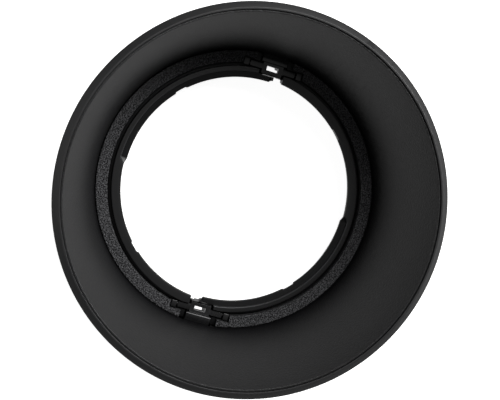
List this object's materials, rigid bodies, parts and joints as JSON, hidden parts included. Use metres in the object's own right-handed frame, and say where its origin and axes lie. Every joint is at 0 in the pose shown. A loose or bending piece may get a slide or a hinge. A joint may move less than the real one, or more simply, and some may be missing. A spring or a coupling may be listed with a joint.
{
  "type": "lens hood",
  "caption": "Round black conical lens hood with a grained floor ring and a rear collar that snaps into a lens's front thread by sprung clip levers with ribbed finger buttons.",
  "frame": {"origin": "centre of the collar's rear face, on the optical axis", "axes": "+Z along the optical axis towards the front, +X through the pivot of clip lever a"},
  "size_m": [0.1028, 0.1028, 0.0488],
  "materials": {
    "bell": "satin black moulding",
    "rim": "satin black moulding",
    "mount": "smooth black moulding",
    "floor": "coarse spark-eroded grain",
    "lever": "semi-gloss black moulding",
    "spring": "drawn wire"
  },
  "bodies": {
    "hood": {"bell_shell": "bell", "front_rim_ring": "rim", "mount_ring": "mount", "floor_cover_a": "floor", "floor_cover_b": "floor", "latch_spring_a": "spring", "latch_spring_b": "spring"},
    "lever_a": {"latch_lever_a": "lever"},
    "lever_b": {"latch_lever_b": "lever"}
  },
  "joints": [
    {"name": "press_a", "type": "hinge", "parent": "hood", "child": "lever_a", "pos_m": [0.0367, 0, 0.0097], "axis": [0, 1, 0], "range_deg": [0, 10], "stiffness_Nm_per_rad": 0.06, "springref_deg": -9.74, "deforming": ["latch_spring_a"]},
    {"name": "press_b", "type": "hinge", "parent": "hood", "child": "lever_b", "pos_m": [-0.0367, 0, 0.0097], "axis": [0, -1, 0], "range_deg": [0, 10], "stiffness_Nm_per_rad": 0.06, "springref_deg": -9.74, "deforming": ["latch_spring_b"]}
  ]
}
